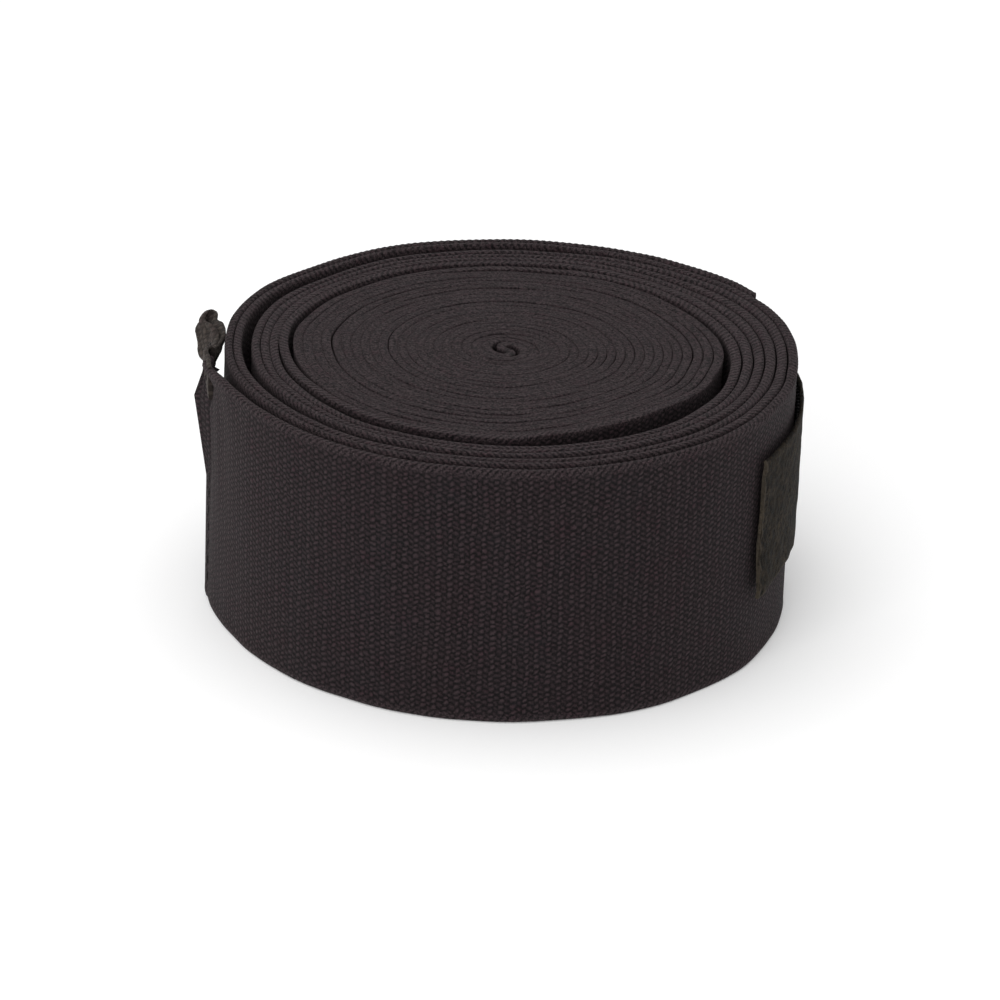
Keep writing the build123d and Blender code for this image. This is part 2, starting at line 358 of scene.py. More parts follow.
def node(tree, kind, inputs=None, **settings):
    made = tree.nodes.new("ShaderNode" + kind)
    for key, value in settings.items():
        setattr(made, key, value)
    for key, value in (inputs or {}).items():
        if isinstance(value, bpy.types.NodeSocket):
            tree.links.new(value, made.inputs[key])
        else:
            made.inputs[key].default_value = value
    return made


def calc(tree, operation, *values, clamp=False):
    return node(tree, "Math", dict(enumerate(values)), operation=operation, use_clamp=clamp).outputs[0]


def wave(tree, phase):
    """A sine of so many turns, from 0 to 1."""
    swing = calc(tree, "SINE", calc(tree, "MULTIPLY", phase, 2 * math.pi))
    return calc(tree, "MULTIPLY_ADD", swing, 0.5, 0.5)


def speckle(tree, place, scale, detail=2.0, rough=0.6):
    inputs = {"Vector": place, "Scale": scale, "Detail": detail, "Roughness": rough}
    return node(tree, "TexNoise", inputs).outputs["Fac"]


def spread(tree, value, low, high, out_low=0.0, out_high=1.0):
    """Stretches the span from low to high over 0 to 1, or over another span."""
    inputs = {"Value": value, "From Min": low, "From Max": high, "To Min": out_low, "To Max": out_high}
    return node(tree, "MapRange", inputs, clamp=True).outputs[0]


def linear(shade):
    """The linear value of an 8-bit sRGB shade."""
    return ((shade / 255 + 0.055) / 1.055) ** 2.4 if shade > 10.3 else shade / 255 / 12.92


def srgb(red, green, blue):
    return (linear(red), linear(green), linear(blue), 1.0)


def mix(tree, factor, first, second):
    made = node(tree, "Mix", data_type="RGBA")
    for socket, value in ((made.inputs[0], factor), (made.inputs[6], first), (made.inputs[7], second)):
        if isinstance(value, bpy.types.NodeSocket):
            tree.links.new(value, socket)
        else:
            socket.default_value = value
    return made.outputs[2]


def cloth_place(tree):
    """The cloth's own coordinates in millimetres: along the strip, up it, and through it."""
    return node(tree, "Attribute", attribute_name="cloth", attribute_type="GEOMETRY").outputs["Vector"]


def surface(name, build, roughness=0.9, sheen=0.0, sheen_tint=(1, 1, 1, 1), distance=0.00025, bump=0.7,
            specular=0.25):
    """A material whose colour, height and roughness come from build(tree, place).

    Where build gives None as roughness, the number stands.
    """
    material = bpy.data.materials.new(name)
    material.use_nodes = True
    tree = material.node_tree
    tree.nodes.clear()
    colour, height, rough = build(tree, cloth_place(tree))
    shader = node(tree, "BsdfPrincipled")
    shader.inputs["Roughness"].default_value = roughness
    shader.inputs["Specular IOR Level"].default_value = specular
    shader.inputs["Sheen Weight"].default_value = sheen
    shader.inputs["Sheen Roughness"].default_value = 0.45
    shader.inputs["Sheen Tint"].default_value = sheen_tint
    tree.links.new(colour, shader.inputs["Base Color"])
    if rough is not None:
        tree.links.new(rough, shader.inputs["Roughness"])
    lumps = node(tree, "Bump", {"Height": height, "Strength": bump, "Distance": distance})
    tree.links.new(lumps.outputs[0], shader.inputs["Normal"])
    out = node(tree, "OutputMaterial")
    tree.links.new(shader.outputs[0], out.inputs["Surface"])
    return material


def wandered(tree, place):
    """The cloth's coordinates, shifted to and fro by up to about half a millimetre as loose yarn is."""
    wander = node(tree, "TexNoise", {"Vector": place, "Scale": 0.4, "Detail": 2.0}).outputs["Color"]
    wander = node(tree, "VectorMath", {0: wander, 1: (0.5, 0.5, 0.5)}, operation="SUBTRACT").outputs[0]
    wander = node(tree, "VectorMath", {0: wander, "Scale": 1.5}, operation="SCALE").outputs[0]
    return node(tree, "VectorMath", {0: place, 1: wander}, operation="ADD").outputs[0]


def weave_height(tree, place):
    """Short slanted floats in columns, every second column half a row up and lower: 0 in the gaps."""
    parts = node(tree, "SeparateXYZ", {0: wandered(tree, place)})
    column = calc(tree, "DIVIDE", parts.outputs[0], WEAVE_COLUMN)
    index = calc(tree, "FLOOR", column)
    within = calc(tree, "SUBTRACT", calc(tree, "SUBTRACT", column, index), 0.5)
    odd = calc(tree, "FLOORED_MODULO", index, 2.0)
    lean = calc(tree, "MULTIPLY", within, calc(tree, "MULTIPLY_ADD", odd, 2 * WEAVE_SLANT, -WEAVE_SLANT))
    shifted = calc(tree, "MULTIPLY_ADD", odd, 0.5, lean)
    phase = calc(tree, "MULTIPLY_ADD", parts.outputs[1], 1 / WEAVE_ROW, shifted)
    swing = calc(tree, "COSINE", calc(tree, "MULTIPLY", phase, 2 * math.pi))
    float_height = calc(tree, "MULTIPLY_ADD", swing, 0.5, 0.5)
    across = calc(tree, "COSINE", calc(tree, "MULTIPLY", within, math.pi * 0.94))
    raised = calc(tree, "MULTIPLY_ADD", odd, -ODD_COLUMN_DROP, 1.0)
    rounded = calc(tree, "POWER", across, 0.7)
    return calc(tree, "MULTIPLY", calc(tree, "MULTIPLY", float_height, raised), rounded)


def cord_height(tree, place):
    """The slanted, twisted threads that bind a selvedge."""
    parts = node(tree, "SeparateXYZ", {0: place})
    up = calc(tree, "MULTIPLY", parts.outputs[1], -1 / CORD_SLANT)
    through = calc(tree, "MULTIPLY_ADD", parts.outputs[2], 1 / CORD_SLANT, up)
    return wave(tree, calc(tree, "MULTIPLY_ADD", parts.outputs[0], 1 / CORD_PITCH, through))


def selvedge_height(tree, place):
    """The selvedge's threads, which are worn to felt in the tight middle of the roll."""
    length = calc(tree, "ABSOLUTE", node(tree, "SeparateXYZ", {0: place}).outputs[0])
    matted = spread(tree, length, DISC_LENGTH, DISC_LENGTH + 60, 1.0, 0.35)
    felt = spread(tree, speckle(tree, place, 1.5, 3.0, 0.8), 0.36, 0.64)
    cords = cord_height(tree, place)
    return calc(tree, "MULTIPLY_ADD", calc(tree, "SUBTRACT", felt, cords), matted, cords)


def selvedge_share(tree, place):
    """1 on the strip's two selvedges, and 0 on its faces."""
    height = node(tree, "SeparateXYZ", {0: place}).outputs[1]
    from_middle = calc(tree, "ABSOLUTE", calc(tree, "SUBTRACT", height, STRIP_WIDTH / 2))
    return spread(tree, from_middle, SELVEDGE_START, SELVEDGE_END)


def yarn_shade(tree, yarn, fuzz, grain, rim):
    """How far each place is from the dark gaps to the lit yarn, with the fuzz livelier on the selvedge."""
    lively = calc(tree, "MULTIPLY_ADD", rim, 2.8, 1.6)
    noisy = calc(tree, "ADD", yarn, calc(tree, "MULTIPLY", calc(tree, "SUBTRACT", fuzz, 0.5), lively))
    return calc(tree, "ADD", noisy, calc(tree, "MULTIPLY_ADD", grain, 0.8, -0.38), clamp=True)


def faded(tree, place, colour):
    """Broad, faint patches of worn brown and of washed-out grey."""
    broad = speckle(tree, place, 0.07, 3.0, 0.55)
    blotch = speckle(tree, place, 0.45, 2.0, 0.5)
    tint = mix(tree, spread(tree, broad, 0.35, 0.65), WORN_BROWN, WASHED_GREY)
    return mix(tree, calc(tree, "MULTIPLY", spread(tree, blotch, 0.35, 0.75), 0.22), colour, tint)


def woven(dark, light, lint, rim_share=1.0):
    """Woven cotton: dark gaps, lit yarn and paler lint. rim_share is 0 for a tape without such a selvedge."""
    def build(tree, place):
        rim = calc(tree, "MULTIPLY", selvedge_share(tree, place), rim_share)
        weave = weave_height(tree, place)
        cords = selvedge_height(tree, place)
        yarn = calc(tree, "MULTIPLY_ADD", calc(tree, "SUBTRACT", cords, weave), rim, weave)
        fuzz = speckle(tree, place, 2.6, 3.0, 0.7)
        grain = speckle(tree, place, 5.5, 2.0, 0.7)
        rust = spread(tree, speckle(tree, place, 0.22, 3.0, 0.6), 0.5, 0.7, 0.0, 0.45)
        lit = mix(tree, rust, mix(tree, calc(tree, "MULTIPLY", rim, 0.1), light, lint), RUST)
        colour = mix(tree, yarn_shade(tree, yarn, fuzz, grain, rim), dark, lit)
        colour = faded(tree, place, colour)
        lint_share = calc(tree, "MULTIPLY_ADD", rim, 0.4, 0.12)
        hairs = calc(tree, "MULTIPLY", spread(tree, fuzz, 0.58, 0.74), lint_share)
        colour = mix(tree, hairs, colour, lint)
        height = calc(tree, "ADD", yarn, calc(tree, "MULTIPLY", fuzz, 0.8))
        height = calc(tree, "ADD", height, calc(tree, "MULTIPLY", grain, 0.35))
        rough = spread(tree, fuzz, 0.3, 0.7, 0.82, 0.98)
        return colour, height, rough
    return build


def painted_edge_highlight(tree, place, colour, bottom, far_end):
    """Painted highlight on the tape's cut edges: its bottom edge, and its far end along the strip, painted
    paler as if lit.
    """
    parts = node(tree, "SeparateXYZ", {0: place})
    low = spread(tree, parts.outputs[1], bottom + 0.25, bottom + 0.8, 1.0, 0.0)
    far = spread(tree, parts.outputs[0], far_end - 0.45, far_end - 0.15)
    # the edge mask places a painted highlight where the cut edges catch the light
    edge = calc(tree, "MULTIPLY", calc(tree, "MAXIMUM", low, far), 0.38)
    return mix(tree, edge, colour, EDGE_HIGHLIGHT)


def felted(dark, light, brown, scale, cut=None):
    """Short matted fibres in two shades with brown patches, as on a worn hook tape.

    cut is the height of the lower edge and the length of the far end, where a paler painted highlight goes.
    """
    def build(tree, place):
        coarse = speckle(tree, place, 0.5 * scale, 3.0, 0.65)
        fuzz = speckle(tree, place, 1.25 * scale, 3.0, 0.75)
        spots = node(tree, "TexVoronoi", {"Vector": place, "Scale": 0.8 * scale, "Randomness": 1.0})
        shade = calc(tree, "ADD", calc(tree, "MULTIPLY", spread(tree, coarse, 0.4, 0.6), 0.35),
                     calc(tree, "MULTIPLY", spread(tree, fuzz, 0.45, 0.58), 0.65), clamp=True)
        pits = spread(tree, spots.outputs["Distance"], 0.1, 0.5, 0.25, 1.0)
        shade = calc(tree, "MULTIPLY", shade, pits)
        colour = mix(tree, shade, dark, light)
        patches = spread(tree, speckle(tree, place, 0.2, 2.0), 0.4, 0.65)
        colour = mix(tree, calc(tree, "MULTIPLY", patches, 0.5), colour, brown)
        # painted highlight along the tape's cut edges
        if cut:
            colour = painted_edge_highlight(tree, place, colour, *cut)
        lumps = calc(tree, "MULTIPLY", spots.outputs["Distance"], 1.3)
        height = calc(tree, "ADD", lumps, calc(tree, "MULTIPLY", fuzz, 1.6))
        rough = spread(tree, fuzz, 0.3, 0.7, 0.75, 0.95)
        return colour, height, rough
    return build


def twisted(dark, light):
    """Two-ply sewing thread: slanted strands along each stitch."""
    def build(tree, place):
        parts = node(tree, "SeparateXYZ", {0: place})
        around = calc(tree, "MULTIPLY", parts.outputs[1], 1.4)
        strand = wave(tree, calc(tree, "MULTIPLY_ADD", parts.outputs[0], 1.8, around))
        fuzz = speckle(tree, place, 4.0)
        colour = mix(tree, calc(tree, "MULTIPLY", calc(tree, "ADD", strand, fuzz), 0.5), dark, light)
        return colour, calc(tree, "ADD", strand, calc(tree, "MULTIPLY", fuzz, 0.4)), None
    return build


def moulded(dark, light):
    """Drawn nylon: near black, faintly streaked."""
    def build(tree, place):
        streak = speckle(tree, place, 3.0, 2.0)
        return mix(tree, streak, dark, light), streak, spread(tree, streak, 0.3, 0.7, 0.32, 0.5)
    return build


RUST = srgb(56, 34, 41)
WORN_BROWN = srgb(37, 25, 27)
WASHED_GREY = srgb(29, 29, 33)
# painted highlight for the tape's lit cut edges: its colour, then the height and length where it goes
EDGE_HIGHLIGHT = srgb(92, 84, 74)
TAPE_HIGHLIGHT_EDGES = (TAB_BOTTOM, LAST_A.length_to(TAB_TIP))

black_cotton = woven(dark=srgb(5, 3, 4), light=srgb(55, 44, 47), lint=srgb(84, 78, 78))
tape_felt = felted(dark=srgb(2, 1, 1), light=srgb(58, 50, 40), brown=srgb(18, 14, 9), scale=0.9, cut=TAPE_HIGHLIGHT_EDGES)
nylon = moulded(dark=srgb(16, 15, 16), light=srgb(44, 42, 44))
fleece = felted(dark=srgb(6, 4, 5), light=srgb(48, 42, 43), brown=srgb(22, 17, 18), scale=1.3)
cotton_thread = twisted(dark=srgb(11, 9, 9), light=srgb(46, 41, 42))
loop_weave = woven(dark=srgb(32, 27, 24), light=srgb(68, 60, 55), lint=srgb(94, 86, 79), rim_share=0.0)

CLOTH = surface("woven_black_cotton", black_cotton, sheen=0.06, sheen_tint=srgb(200, 185, 186), bump=0.85,
                specular=0.16)
TAPE = surface("hook_tape_back", tape_felt, distance=0.0005, bump=1.0, specular=0.12)
HOOKS = surface("nylon_hooks", nylon, roughness=0.4, distance=0.00004, specular=0.5)
PILE = surface("pile_fleece", fleece, sheen=0.1, distance=0.0005, bump=0.9)
THREAD = surface("sewing_thread", cotton_thread, roughness=0.6, distance=0.00008)
LOOP_CLOTH = surface("loop_tape_cloth", loop_weave, sheen=0.08, sheen_tint=srgb(210, 200, 190))

# ---- The wound cloth ----
START_A = LAST_A.length_to(CLOSURE_CUTS[0])
START_B = LAST_B.length_to(THUMB_CUTS[0])
# the core and the last half turn before the joints have closer cross-sections than the cloth between them
CORE_RUN = 60.0
OUTER_RUN = math.pi * 52
OUTER_A = LAST_A.travelled - OUTER_RUN
OUTER_B = LAST_B.travelled - OUTER_RUN
CORE_STEP, INNER_STEP, OUTER_STEP = 0.8, 2.3, 0.36


def wound_lengths(end, outer):
    """Where the wound cloth's cross-sections stand, from the middle of the strip to its first joint."""
    core = lengths_between(0.0, CORE_RUN, CORE_STEP)
    middle = lengths_between(CORE_RUN, outer, INNER_STEP)[1:]
    return core + middle + lengths_between(outer, end, OUTER_STEP)[1:]


def wound_cloth():
    rings = []
    for length in reversed(wound_lengths(START_B, OUTER_B)):
        if length > 0:
            rings.append(cloth_ring(ARM_B, length, -1, fine=length >= OUTER_B))
    for length in wound_lengths(START_A, OUTER_A):
        rings.append(cloth_ring(ARM_A, length, 1, fine=length >= OUTER_A))
    return ribbon("wound_cloth", rings, CLOTH)


def tail(name, arcs, side, begin, end, shape=None):
    """One free length of the strip, between two cuts on the arm's last arc, and its flat length in metres."""
    last = arcs[-1]
    start, stop = last.length_to(begin), last.length_to(end)
    rings = [cloth_ring(arcs, s, side, shape, fine=True) for s in lengths_between(start, stop, OUTER_STEP)]
    if side < 0:
        rings.reverse()
    piece = ribbon(name, rings, CLOTH)
    return piece, (stop - start) * MM


def metres(place, z=0.025):
    return (place.x * MM, place.y * MM, z)


def hinge(arc, azimuth, offset=HALF_CLOTH):
    return metres(arc.at(azimuth, offset))


def bend_over(piece, arc, begin, end, share=0.65, offset=HALF_CLOTH):
    """Bakes the piece's placement into its mesh. The joint's points at azimuth begin and a share of the way
    to azimuth end are worked out but not used.
    """
    done = hinge(arc, begin + (end - begin) * share, offset)
    hinge(arc, begin, offset)
    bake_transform(piece)


GATHER_HEIGHT = 49.0
WALL_RADIUS = 54.0
PLEAT_DEPTH, HEM_DEPTH, BULGE_DEPTH, CURL_DEPTH, CURL_DROP = 0.8, 0.35, 1.7, 0.5, 1.5
BULGE_BELOW, BULGE_SPREAD = 9.5, 4.5


def gathered(azimuth, z, out):
    """The pushes outward and upward at the strip's thumb end.

    Pleats fan down from the loop's root, the hem is folded, the cloth bulges below, and the corner curls.
    """
    along_wall = math.radians(azimuth % 360 - THUMB_CUTS[2]) * WALL_RADIUS
    down = GATHER_HEIGHT - z
    reach = math.hypot(along_wall, down)
    fan = math.degrees(math.atan2(along_wall, max(down, 0.01)))
    fade = (1 - smooth(3, 24, reach)) * smooth(0.0, 3.0, reach)
    pleat = math.sin(math.radians(fan) * 9.0 + 0.6) + 0.4 * math.sin(math.radians(fan) * 21.0)
    outward = PLEAT_DEPTH * fade * pleat
    hem = HEM_DEPTH * (1 - smooth(1.5, 3.2, along_wall)) * smooth(4, 8, down)
    below = math.exp(-((down - BULGE_BELOW) / BULGE_SPREAD) ** 2)
    bulge = BULGE_DEPTH * below * (1 - smooth(0.0, 7.0, along_wall))
    curl = (1 - smooth(1.0, 15.0, along_wall)) * (1 - smooth(0.0, 7.0, down))
    return outward + hem + bulge + curl * CURL_DEPTH, -curl * CURL_DROP


roll_cloth = wound_cloth()
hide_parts("wound_core", "outer_wraps_closure_arm", "outer_wraps_thumb_arm")
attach(roll_cloth, "roll")

CLOSURE_NODES = ["closure_tail_near", "closure_tail_middle", "closure_tail_end"]
for index, name in enumerate(CLOSURE_NODES):
    begin, end = CLOSURE_CUTS[index], CLOSURE_CUTS[index + 1]
    piece, length = tail("cloth_" + name, ARM_A, 1, begin, end)
    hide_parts(name)
    bend_over(piece, LAST_A, begin, end)

THUMB_NODES = ["thumb_tail_near", "thumb_tail_end"]
for index, name in enumerate(THUMB_NODES):
    begin, end = THUMB_CUTS[index], THUMB_CUTS[index + 1]
    piece, length = tail("cloth_" + name, ARM_B, -1, begin, end, gathered)
    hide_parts(name)
    bend_over(piece, LAST_B, begin, end)


# ---- Flat bands on an arc: the hook tape, the pile patch ----
def band_section(inner, outer, bottom, top, count, soft=0.3):
    """A flat band's cross-section: count points up each face and rounded edges."""
    def heights(first, last):
        return [first + (last - first) * i / (count - 1) for i in range(count)]
    middle = (inner + outer) / 2
    up = [(outer, z) for z in heights(bottom + soft, top - soft)]
    down = [(inner, z) for z in heights(top - soft, bottom + soft)]
    return up + [(middle, top)] + down + [(middle, bottom)]


def band(name, arc, begin, end, section, step, material, shape):
    """A band that follows an arc from azimuth begin to azimuth end, and its flat length in metres."""
    start, stop = arc.length_to(begin), arc.length_to(end)
    rings = []
    for length in lengths_between(start, stop, step):
        azimuth = arc.first - math.degrees((length - arc.travelled) / arc.radius)
        ring = []
        for out, z in section:
            turn, push, lift = shape(start, stop, length, out, z)
            place = arc.at(azimuth + math.degrees(turn / arc.radius), out + push)
            ring.append((settle(place.x, place.y, z + lift), (length, z, out)))
        rings.append(ring)
    return ribbon(name, rings, material), (stop - start) * MM


TAB_INNER, TAB_OUTER = HALF_CLOTH, HALF_CLOTH + TAB_THICKNESS
SEWN_START = CLOSURE_CUTS[3] + math.degrees(TAB_SEWN_LENGTH / (LAST_A.radius + HALF_CLOTH))
TAB_FOLD_SHARE = 0.22


def tape_shape(start, stop, length, out, z):
    """The tape's cut end slants, its lower corner stands off, and its face is a little uneven."""
    to_tip = stop - length
    near_tip = 1 - smooth(0.0, 9.0, to_tip)
    height = (z - TAB_BOTTOM) / (TAB_TOP - TAB_BOTTOM)
    turn = near_tip * (1.9 * height + 0.25 * math.sin(z * 1.9) + 0.18 * math.sin(z * 4.3 + 1))
    lift_off = 0.8 * near_tip * (1 - smooth(0.0, 0.45, height)) + 0.15 * near_tip
    rough = 0.16 * noise.noise(Vector((length / 3.1, z / 3.1, 4.0))) if out > TAB_INNER + 0.1 else 0.0
    step_down = -TAB_DROP * smooth(0.0, 5.0, length - LAST_A.length_to(CLOSURE_CUTS[3]))
    frayed = 0.22 * noise.noise(Vector((length / 1.1, 7.0, z / 40)))
    edge = frayed if (z < TAB_BOTTOM + 0.1 or z > TAB_TOP - 0.1) else 0.0
    return turn, lift_off + rough + step_down, edge


tab, tab_length = band("hook_tape", LAST_A, SEWN_START, TAB_TIP,
                       band_section(TAB_INNER, TAB_OUTER, TAB_BOTTOM, TAB_TOP, 26), 0.8, TAPE, tape_shape)
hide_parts("hook_tab_sewn_end", "hook_tab_tape")
bend_over(tab, LAST_A, CLOSURE_CUTS[3], TAB_TIP, TAB_FOLD_SHARE, TAB_OUTER)

# one hook's middle line: (share of its height down from the tape, millimetres it leans over)
HOOK_LINE = [(0.0, 0.0), (0.42, 0.0), (0.74, 0.05), (0.92, 0.2), (0.9, 0.42), (0.74, 0.52)]
HOOK_HALF_DIAGONAL = 0.13
HOOK_COLUMN, HOOK_ROW = 1.45, 1.3
HOOKS_FROM_FOLD, HOOKS_FROM_TIP, HOOKS_FROM_EDGE = 2.4, 3.6, 1.5


def one_hook(length, z, way, tip_length):
    """The points and cloth coordinates of one hook: a square stem that curls over towards way."""
    azimuth = LAST_A.first - math.degrees((length - LAST_A.travelled) / LAST_A.radius)
    outward, forward = along(azimuth), along(azimuth - 90)
    root = LAST_A.at(azimuth, TAB_INNER + 0.12)
    push = tape_shape(0.0, tip_length, length, TAB_INNER, z)[1]
    points, coords = [], []
    for depth, lean in HOOK_LINE:
        middle = root + outward * (push - depth * (HOOK_HEIGHT + 0.05)) + forward * (lean * way)
        for k in range(4):
            side = math.radians(45 + 90 * k)
            place = middle + forward * (HOOK_HALF_DIAGONAL * math.cos(side))
            points.append(settle(place.x, place.y, z + HOOK_HALF_DIAGONAL * math.sin(side)))
            coords.append((length + lean, z, depth))
    return points, coords


def hook_bed():
    """Rows of small nylon hooks under the tape, which curl over to either side in turn."""
    points, faces, coords = [], [], []
    tip_length = LAST_A.length_to(TAB_TIP)
    start, stop = LAST_A.length_to(CLOSURE_CUTS[3]) + HOOKS_FROM_FOLD, tip_length - HOOKS_FROM_TIP
    bed_height = TAB_TOP - TAB_BOTTOM - 2 * HOOKS_FROM_EDGE
    columns, rows = int((stop - start) / HOOK_COLUMN), int(bed_height / HOOK_ROW)
    for i in range(columns + 1):
        for j in range(rows + 1):
            length = start + (stop - start) * i / columns
            z = TAB_BOTTOM + HOOKS_FROM_EDGE + bed_height * j / rows
            faces += tube_faces(len(points), len(HOOK_LINE), 4)
            hook_points, hook_coords = one_hook(length, z, 1 if (i + j) % 2 else -1, tip_length)
            points += hook_points
            coords += hook_coords
    return finish_mesh("hook_bed", points, faces, coords, HOOKS)


hooks = hook_bed()
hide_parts("hook_field")
bend_over(hooks, LAST_A, CLOSURE_CUTS[3], TAB_TIP, TAB_FOLD_SHARE, TAB_OUTER)

PATCH_ARC = ARM_A[-2]


def patch_shape(start, stop, length, out, z):
    """Pile worn a little uneven, thinner along its edges."""
    if out <= HALF_CLOTH + 0.1:
        return 0.0, 0.0, 0.0
    from_end = min(length - start, stop - length)
    from_side = min(z - PATCH_BOTTOM, PATCH_TOP - z)
    thin = 0.3 * (1 - smooth(0.0, 2.5, min(from_end, from_side)))
    return 0.0, 0.1 * noise.noise(Vector((length / 2, z / 2, 9))) - thin, 0.0


PATCH_SECTION = band_section(HALF_CLOTH, HALF_CLOTH + PATCH_THICKNESS, PATCH_BOTTOM, PATCH_TOP, 30)
patch, patch_length = band("pile_fleece_patch", PATCH_ARC, PATCH_START, PATCH_END, PATCH_SECTION, 1.3, PILE,
                           patch_shape)
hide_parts("pile_patch")
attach(patch, "roll")


# ---- Stitches ----
STITCH_RINGS, STITCH_SIDES = 7, 6
STITCH_HALF_LENGTH, STITCH_ARCH, STITCH_RADIUS, STITCH_SUNK = 1.2, 0.26, 0.21, 0.08


def one_stitch(number, arc, azimuth, offset, z, level):
    """The points and cloth coordinates of one arched stitch, which slants a little to either side."""
    outward, forward = along(azimuth), along(azimuth - 90)
    root = arc.at(azimuth, offset)
    slant = 0.12 * math.sin(number * 2.4)
    points, coords = [], []
    for i in range(STITCH_RINGS):
        t = i / (STITCH_RINGS - 1) * 2 - 1
        arch = STITCH_ARCH * math.sqrt(max(0.0, 1 - t * t))
        thick = STITCH_RADIUS * (0.55 + 0.45 * math.sqrt(max(0.0, 1 - t * t)))
        run, rise = (STITCH_HALF_LENGTH * t, slant * t) if level else (slant * t, STITCH_HALF_LENGTH * t)
        for k in range(STITCH_SIDES):
            turn = 2 * math.pi * k / STITCH_SIDES
            side = thick * math.cos(turn)
            ahead, above = (run, rise + side) if level else (run + side, rise)
            place = root + forward * ahead + outward * (arch + thick * math.sin(turn) - STITCH_SUNK)
            points.append(settle(place.x, place.y, z + above))
            coords.append((t * STITCH_HALF_LENGTH + number * 5.3, side * 3, 0.0))
    return points, coords


def stitches(name, places):
    """Small rounded stitches. A place is (arc, azimuth, offset, height, whether it runs along the arc)."""
    points, faces, coords = [], [], []
    for number, place in enumerate(places):
        faces += tube_faces(len(points), STITCH_RINGS, STITCH_SIDES)
        stitch_points, stitch_coords = one_stitch(number, *place)
        points += stitch_points
        coords += stitch_coords
    return finish_mesh(name, points, faces, coords, THREAD)


def degrees_for(length, arc, offset):
    return math.degrees(length / (arc.radius + offset))


def column(arc, azimuth, offset, bottom, top):
    """Places for upright stitches, one above the other."""
    count = int((top - bottom) / STITCH_PITCH)
    first = (bottom + top - (count - 1) * STITCH_PITCH) / 2
    return [(arc, azimuth, offset, first + i * STITCH_PITCH, False) for i in range(count)]


def row(arc, begin, end, offset, z):
    """Places for level stitches, one after the other along the arc."""
    step = degrees_for(STITCH_PITCH, arc, offset)
    count = int((begin - end) / step)
    first = (begin + end + (count - 1) * step) / 2
    return [(arc, first - i * step, offset, z, True) for i in range(count)]


inset = degrees_for(1.6, LAST_A, TAB_OUTER)
tab_places = column(LAST_A, SEWN_START - inset, TAB_OUTER, TAB_BOTTOM + 1, TAB_TOP - 1)
tab_places += column(LAST_A, CLOSURE_CUTS[3] + 2 * inset, TAB_OUTER, TAB_BOTTOM + 1, TAB_TOP - 1)
for z in (TAB_BOTTOM + 1.2, TAB_TOP - 1.2):
    tab_places += row(LAST_A, SEWN_START - 2 * inset, CLOSURE_CUTS[3] + 2.6 * inset, TAB_OUTER, z)
tab_seam = stitches("hook_tape_seam", tab_places)
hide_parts("hook_tab_stitching")
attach(tab_seam, "closure_end")

gap = degrees_for(0.8, PATCH_ARC, HALF_CLOTH)
patch_places = column(PATCH_ARC, PATCH_START + gap, HALF_CLOTH, PATCH_BOTTOM, PATCH_TOP)
patch_places += column(PATCH_ARC, PATCH_END - gap, HALF_CLOTH, PATCH_BOTTOM, PATCH_TOP)
for z in (PATCH_BOTTOM - 0.8, PATCH_TOP + 0.8):
    patch_places += row(PATCH_ARC, PATCH_START, PATCH_END, HALF_CLOTH, z)
patch_seam = stitches("pile_patch_seam", patch_places)
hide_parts("pile_patch_stitching")
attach(patch_seam, "roll")

hem_azimuth = THUMB_CUTS[2] + degrees_for(3.0, LAST_B, HALF_CLOTH)
hem_places = column(LAST_B, hem_azimuth, HALF_CLOTH, 1.5, LOOP_BOTTOM - 0.5)
hem_seam = stitches("thumb_hem_seam", hem_places)
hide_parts("thumb_end_stitching")
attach(hem_seam, "thumb_end")


# ---- Thumb loop ----
LOOP_ROOT = LAST_B.at(THUMB_CUTS[2], HALF_CLOTH / 2)
LOOP_AXIS = along(THUMB_CUTS[2] - 90.0 + LOOP_LEAN)
LOOP_SIDE = Vector((-LOOP_AXIS.y, LOOP_AXIS.x))
LOOP_WALL = 0.95
LOOP_TWIST = 3.0
WAIST_AT, WAIST_SPREAD = 6.5, 3.6
TACK_PLACES = (3.0, 4.0, 5.0)
TACK_RINGS, TACK_SIDES = 9, 6
TACK_HALF_HEIGHT, TACK_RADIUS, TACK_OUT = 2.9, 0.22, 1.2


def loop_path():
    """The tape's middle line: along the outer face of the strip end, out to the loop's tip, and back inside.

    A point is (along the loop, away from the roll), in millimetres from the loop's root.
    """
    sewn = []
    for i in range(14):
        t = i / 13
        sewn.append((-7.5 + 8.5 * t, 0.85 + 0.1 * math.sin(t * 9)))
    outer_side = [
        (2.6, 0.75), (4.6, 0.7), (6.6, 0.75), (8.6, 0.9), (10.6, 1.1), (12.4, 1.3), (14.2, 1.6), (15.6, 1.7),
    ]
    tip = [(16.9, 1.3), (17.5, 0.4), (17.2, -0.5), (16.2, -0.7)]
    inner_side = [
        (14.8, -0.6), (12.8, -0.55), (10.8, -0.6), (8.8, -0.65), (6.8, -0.5), (4.8, -0.42), (3.0, -0.4),
        (1.6, -0.35),
    ]
    return sewn + outer_side + tip + inner_side


def between(a, b, c, d, t):
    """A point on the smooth curve from b to c, which passes on from a and towards d."""
    bend = (2 * a - 5 * b + 4 * c - d) * t * t
    return 0.5 * ((2 * b) + (c - a) * t + bend + (3 * b - a - 3 * c + d) * t ** 3)


def resample(path, step):
    """Evenly spaced points along a smooth curve through the path."""
    dense = []
    for i in range(len(path) - 1):
        a = Vector(path[max(i - 1, 0)])
        b, c = Vector(path[i]), Vector(path[i + 1])
        d = Vector(path[min(i + 2, len(path) - 1)])
        dense += [between(a, b, c, d, k / 8) for k in range(8)]
    dense.append(Vector(path[-1]))
    out, since = [dense[0]], 0.0
    for p, q in zip(dense, dense[1:]):
        since += (q - p).length
        if since >= step:
            out.append(q)
            since = 0.0
    return out


